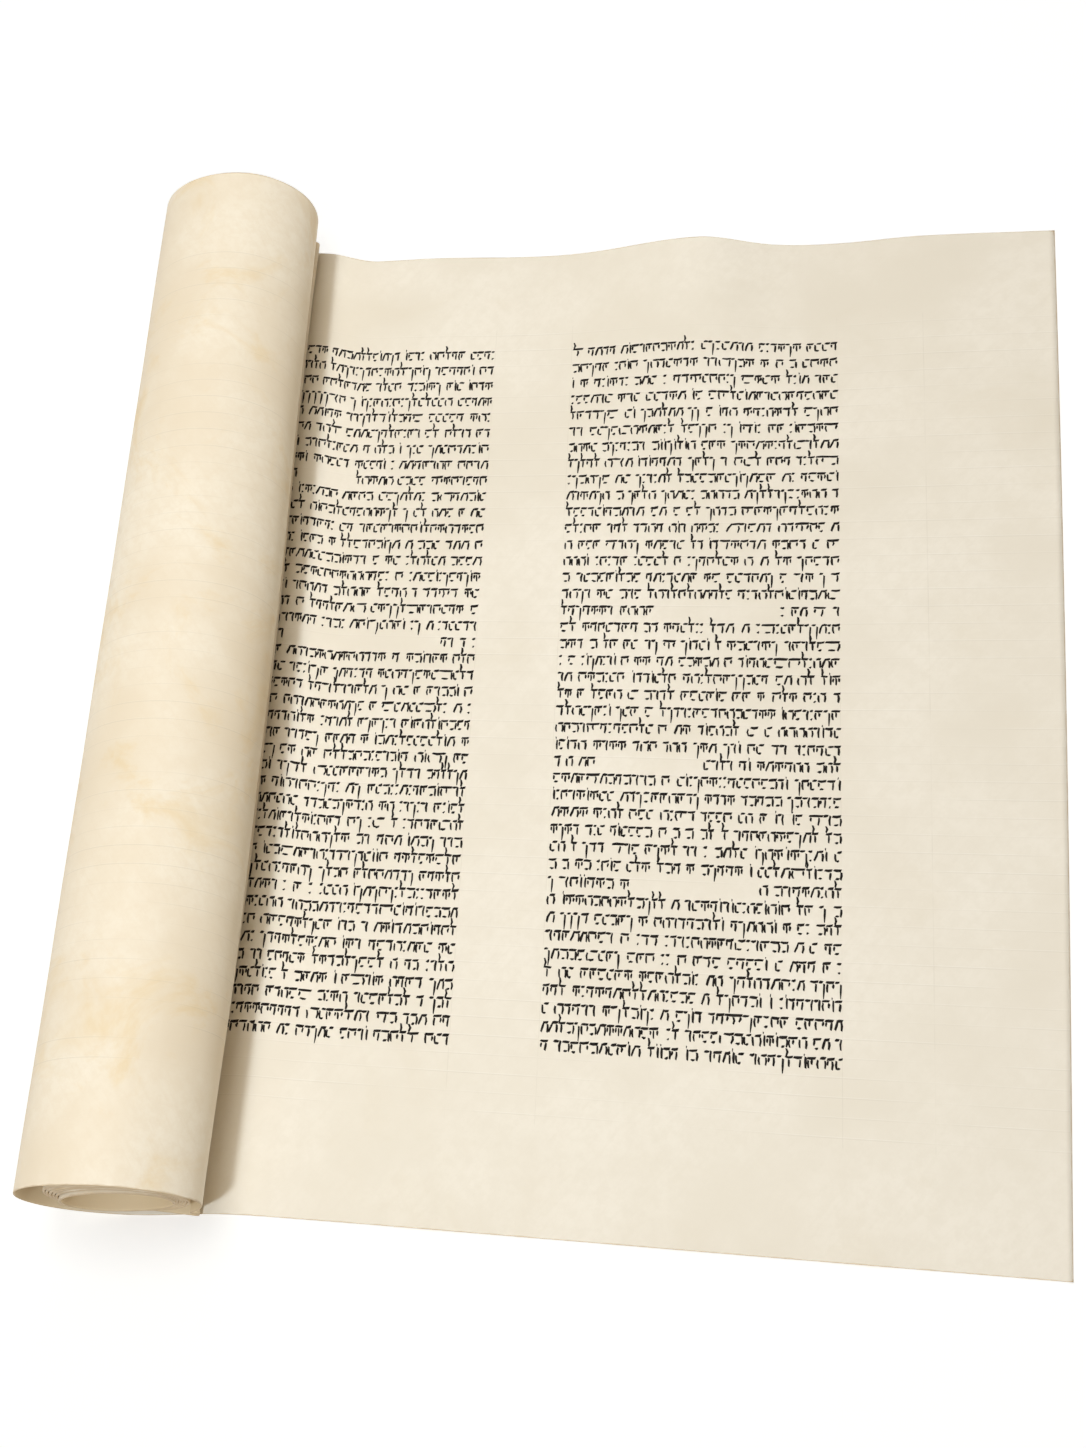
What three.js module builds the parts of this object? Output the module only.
// A hand-written parchment scroll, lying partly open on its back.
// One continuous strip of parchment: a loose hollow roll on the left, two columns' width of open sheet on the right.
// Units are millimetres, +Z is up, +Y runs along the roll's axis and +X runs out along the open sheet.
import * as THREE from 'three';

// Driving dimensions
const ROLL_LENGTH = 430;
const ROLL_WIDTH = 68;
const ROLL_HEIGHT = 60;
const FAR_END_FLATTER = 2.6;
const HOLLOW_WIDTH = 38.5;
const HOLLOW_HEIGHT = 37;
const PARCHMENT_THICKNESS = 0.5;
const SHEET_REACH = 330.5;

// The roll: one wide outer turn over a tighter coil that has settled to the bottom
const COIL_TURNS = 6;
const CROWN_GAP = 6;
const COIL_SIDE_GAP = 9.3;
const COIL_FLOOR_GAP = 0.55;
const ROLL_BOW = 1.2;

// At the near end the coil stands back from the outer turn, and its inside stands back less
const COIL_SETBACK = 1.9;
const HOLLOW_SETBACK = 1;

// The foot of the outer turn: a narrow bead, folded before the strip runs back under the coil
const BEAD_RADIUS = 1.9;
const BEAD_OFFSET = 23.6;
const BEAD_STARTS_AT = 72;
const FOOT_LEAVES_AT = 298;

// The open sheet: its two long edges run a little askew of the roll
const NEAR_EDGE_STEP = 3.2;
const NEAR_EDGE_SLOPE = 0.0558;
const NEAR_EDGE_SETTLES = 50;
const FAR_EDGE_STEP = 4.5;
const FAR_EDGE_STEP_FROM = 30;
const FAR_EDGE_STEP_TO = 55;
const FAR_EDGE_DROP = 8.2;
const FAR_EDGE_DROPS_FROM = 20;
const FAR_EDGE_SETTLES = 70;
const END_LEAN = 0.0445;
const LEAN_STARTS = 150;
const END_BOW = 1.3;

// Waves in the far edge: where each crests, how high, and how far it reaches to either side
const WAVES = [
  { crest: 85, height: 2.4, left: 25, right: 40 },
  { crest: 199, height: 10.3, left: 42, right: 24 },
  { crest: 286, height: 2.4, left: 20, right: 44 },
];
const WAVE_REACH = 150;
const WAVES_START = 30;
const WAVES_FULL = 55;

// The near edge curls up a little, except under the roll
const NEAR_CURL = 1.2;
const NEAR_CURL_REACH = 34;
const CURL_STARTS = 40;
const CURL_FULL = 90;

// How finely the strip is faceted
const SHEET_STEPS = 26;
const TURN_STEPS = 36;
const COIL_STEPS = 21;
const FOOT_STEPS = 6;
const BEAD_STEPS = 7;
const NEAR_LINES = [0, 9, 26, 60];
const FAR_LINES = [160, 112, 74, 44, 20, 0];

const PARCHMENT = new THREE.MeshStandardMaterial({ color: 0xe9dcc0, roughness: 0.72, metalness: 0 });

const FLOOR_PITCH = PARCHMENT_THICKNESS + COIL_FLOOR_GAP;
const REST_HEIGHT = PARCHMENT_THICKNESS / 2;

function smoothstep(from, to, value) {
  const t = THREE.MathUtils.clamp((value - from) / (to - from), 0, 1);
  return t * t * (3 - 2 * t);
}

// The strip's path in the XZ plane, from the free end of the open sheet to the inside of the coil.
// Each station holds x and z, and how far its near end stands back. On the open sheet, open is true.
function sheetStations() {
  const stations = [];
  for (let i = 0; i < SHEET_STEPS; i += 1) {
    stations.push({ x: SHEET_REACH * (1 - i / SHEET_STEPS), z: REST_HEIGHT, setback: 0, open: true });
  }
  return stations;
}

// A point of an elliptical turn. The angle runs clockwise from the bottom, seen from the near end.
function turnPoint(centreX, bottomZ, halfWidth, halfHeight, degrees) {
  const angle = THREE.MathUtils.degToRad(degrees);
  return new THREE.Vector2(
    centreX - halfWidth * Math.sin(angle),
    bottomZ + halfHeight * (1 - Math.cos(angle)),
  );
}

const OUTER_HALF_WIDTH = (ROLL_WIDTH - PARCHMENT_THICKNESS) / 2;
const OUTER_HALF_HEIGHT = (ROLL_HEIGHT - PARCHMENT_THICKNESS) / 2;

function outerTurnPoint(degrees) {
  return turnPoint(0, REST_HEIGHT, OUTER_HALF_WIDTH, OUTER_HALF_HEIGHT, degrees);
}

function outerTurnStations() {
  const stations = [];
  const step = 360 / TURN_STEPS;
  for (let degrees = 0; degrees < FOOT_LEAVES_AT; degrees += step) {
    const point = outerTurnPoint(degrees);
    stations.push({ x: point.x, z: point.y, setback: 0 });
  }
  return stations;
}

// The outer turn swings in behind the bead, goes round it, and runs back under the coil.
function footStations() {
  const bottom = REST_HEIGHT + FLOOR_PITCH;
  const bead = new THREE.Vector2(BEAD_OFFSET, bottom + BEAD_RADIUS);
  const from = outerTurnPoint(FOOT_LEAVES_AT);
  const ahead = outerTurnPoint(FOOT_LEAVES_AT + 1).sub(from).normalize();
  const startAngle = THREE.MathUtils.degToRad(BEAD_STARTS_AT);
  const endAngle = -Math.PI / 2;
  const around = (angle) => new THREE.Vector2(
    bead.x + BEAD_RADIUS * Math.cos(angle),
    bead.y + BEAD_RADIUS * Math.sin(angle),
  );
  const into = new THREE.Vector2(Math.sin(startAngle), -Math.cos(startAngle));
  const meets = around(startAngle);
  const swing = new THREE.CubicBezierCurve(
    from,
    from.clone().addScaledVector(ahead, from.distanceTo(meets) * 0.5),
    meets.clone().addScaledVector(into, -BEAD_RADIUS * 1.6),
    meets,
  );
  const stations = [];
  for (let i = 0; i < FOOT_STEPS; i += 1) {
    const point = swing.getPoint(i / FOOT_STEPS);
    stations.push({ x: point.x, z: point.y, setback: 0 });
  }
  for (let i = 0; i <= BEAD_STEPS; i += 1) {
    const point = around(THREE.MathUtils.lerp(startAngle, endAngle, i / BEAD_STEPS));
    stations.push({ x: point.x, z: point.y, setback: 0 });
  }
  stations.push({ x: (bead.x + coilCentre()) / 2, z: bottom, setback: COIL_SETBACK / 2 });
  return stations;
}

// The coil lies on the bottom of the roll. Its turns tighten evenly from its outside to the hollow.
const COIL_HALF_HEIGHT = (ROLL_HEIGHT - CROWN_GAP - 2 * PARCHMENT_THICKNESS - FLOOR_PITCH) / 2;
const COIL_HALF_WIDTH = COIL_HALF_HEIGHT;
const HOLLOW_HALF_WIDTH = (HOLLOW_WIDTH + PARCHMENT_THICKNESS) / 2;
const HOLLOW_HALF_HEIGHT = (HOLLOW_HEIGHT + PARCHMENT_THICKNESS) / 2;

function coilCentre() {
  return COIL_SIDE_GAP - (OUTER_HALF_WIDTH - COIL_HALF_WIDTH);
}

function coilStations() {
  const stations = [];
  const count = COIL_TURNS * COIL_STEPS;
  for (let i = 0; i <= count; i += 1) {
    const turn = i / COIL_STEPS;
    const share = turn / COIL_TURNS;
    const point = turnPoint(
      coilCentre(),
      REST_HEIGHT + FLOOR_PITCH * (1 + turn),
      THREE.MathUtils.lerp(COIL_HALF_WIDTH, HOLLOW_HALF_WIDTH, share),
      THREE.MathUtils.lerp(COIL_HALF_HEIGHT, HOLLOW_HALF_HEIGHT, share),
      turn * 360,
    );
    const setback = THREE.MathUtils.lerp(COIL_SETBACK, HOLLOW_SETBACK, share);
    stations.push({ x: point.x, z: point.y, setback });
  }
  return stations;
}

// Across the strip: positions from the near edge (0) to the far edge (1).
function acrossLines() {
  const near = NEAR_LINES.map((distance) => distance / ROLL_LENGTH);
  const far = FAR_LINES.map((distance) => 1 - distance / ROLL_LENGTH);
  return [...near, ...far];
}

// The open sheet's long edges start square with the roll and settle into their own run.
function nearEdge(x) {
  return smoothstep(0, NEAR_EDGE_SETTLES, x) * (NEAR_EDGE_STEP - NEAR_EDGE_SLOPE * x);
}

function farEdge(x) {
  const step = FAR_EDGE_STEP * smoothstep(FAR_EDGE_STEP_FROM, FAR_EDGE_STEP_TO, x);
  const run = Math.max(0, x - FAR_EDGE_DROPS_FROM);
  return ROLL_LENGTH - step - FAR_EDGE_DROP * (1 - Math.exp(-run / FAR_EDGE_SETTLES));
}

function waveHeight(x, fromFarEdge) {
  const fade = Math.max(0, 1 - fromFarEdge / WAVE_REACH) ** 2;
  let height = 0;
  for (const wave of WAVES) {
    const reach = x < wave.crest ? wave.left : wave.right;
    height += wave.height * Math.exp(-(((x - wave.crest) / reach) ** 2));
  }
  return height * fade * smoothstep(WAVES_START, WAVES_FULL, x);
}

function curlHeight(x, fromNearEdge) {
  const fade = Math.max(0, 1 - fromNearEdge / NEAR_CURL_REACH) ** 2;
  return NEAR_CURL * fade * smoothstep(CURL_STARTS, CURL_FULL, x);
}

// A point of the strip's middle surface, for one station and one position across.
function sheetPoint(station, across) {
  const low = nearEdge(station.x);
  const high = farEdge(station.x);
  const y = THREE.MathUtils.lerp(low, high, across);
  const lean = END_LEAN * (Math.max(0, station.x - LEAN_STARTS) / (SHEET_REACH - LEAN_STARTS)) ** 3;
  const bow = END_BOW * 4 * across * (1 - across) * (station.x / SHEET_REACH) ** 4;
  const lift = waveHeight(station.x, high - y) + curlHeight(station.x, y - low);
  return new THREE.Vector3(station.x + lean * (y - low) + bow, y, station.z + lift);
}

// The roll bows sideways by a millimetre at half its length, and its far end is a little flatter.
function rollPoint(station, across) {
  const raised = (station.z - REST_HEIGHT) / ROLL_HEIGHT;
  const bow = ROLL_BOW * 4 * across * (1 - across) * Math.sqrt(raised);
  const flatter = FAR_END_FLATTER * across * raised;
  return new THREE.Vector3(station.x + bow, ROLL_LENGTH * across + station.setback, station.z - flatter);
}

function middleSurface(stations, lines) {
  return stations.map((station) => lines.map((across) => (
    station.open ? sheetPoint(station, across) : rollPoint(station, across)
  )));
}

// Unit normal on the written side, from the neighbouring points of the surface.
function writtenNormal(surface, i, j) {
  const along = surface[Math.min(i + 1, surface.length - 1)][j].clone();
  along.sub(surface[Math.max(i - 1, 0)][j]);
  const across = surface[i][Math.min(j + 1, surface[i].length - 1)].clone();
  across.sub(surface[i][Math.max(j - 1, 0)]);
  return across.cross(along).normalize();
}

// The strip as one closed body: written side, outer side, two long edges and two ends.
function thickenSurface(surface, thickness) {
  const rows = surface.length;
  const columns = surface[0].length;
  const positions = [];
  for (const side of [0.5, -0.5]) {
    for (let i = 0; i < rows; i += 1) {
      for (let j = 0; j < columns; j += 1) {
        const point = surface[i][j].clone();
        point.addScaledVector(writtenNormal(surface, i, j), side * thickness);
        positions.push(point.x, point.y, point.z);
      }
    }
  }
  const written = (i, j) => i * columns + j;
  const outer = (i, j) => rows * columns + i * columns + j;
  const indices = [];
  const quad = (a, b, c, d) => indices.push(a, b, c, a, c, d);
  for (let i = 0; i < rows - 1; i += 1) {
    for (let j = 0; j < columns - 1; j += 1) {
      quad(written(i, j), written(i, j + 1), written(i + 1, j + 1), written(i + 1, j));
      quad(outer(i, j), outer(i + 1, j), outer(i + 1, j + 1), outer(i, j + 1));
    }
    const last = columns - 1;
    quad(written(i, 0), written(i + 1, 0), outer(i + 1, 0), outer(i, 0));
    quad(written(i, last), outer(i, last), outer(i + 1, last), written(i + 1, last));
  }
  for (let j = 0; j < columns - 1; j += 1) {
    const end = rows - 1;
    quad(written(0, j), outer(0, j), outer(0, j + 1), written(0, j + 1));
    quad(written(end, j), written(end, j + 1), outer(end, j + 1), outer(end, j));
  }
  const geometry = new THREE.BufferGeometry();
  geometry.setAttribute('position', new THREE.Float32BufferAttribute(positions, 3));
  geometry.setIndex(indices);
  geometry.computeVertexNormals();
  return geometry;
}

function makeParchment() {
  const stations = [
    ...sheetStations(),
    ...outerTurnStations(),
    ...footStations(),
    ...coilStations(),
  ];
  const surface = middleSurface(stations, acrossLines());
  const mesh = new THREE.Mesh(thickenSurface(surface, PARCHMENT_THICKNESS), PARCHMENT);
  mesh.name = 'parchment';
  return mesh;
}

// The origin is the middle of the scroll's footprint, on the surface that it lies on.
function buildScroll() {
  const scroll = new THREE.Group();
  const parchment = makeParchment();
  parchment.geometry.computeBoundingBox();
  const box = parchment.geometry.boundingBox;
  const centre = box.getCenter(new THREE.Vector3());
  parchment.position.set(-centre.x, -centre.y, -box.min.z);
  scroll.add(parchment);
  return scroll;
}

export default buildScroll();
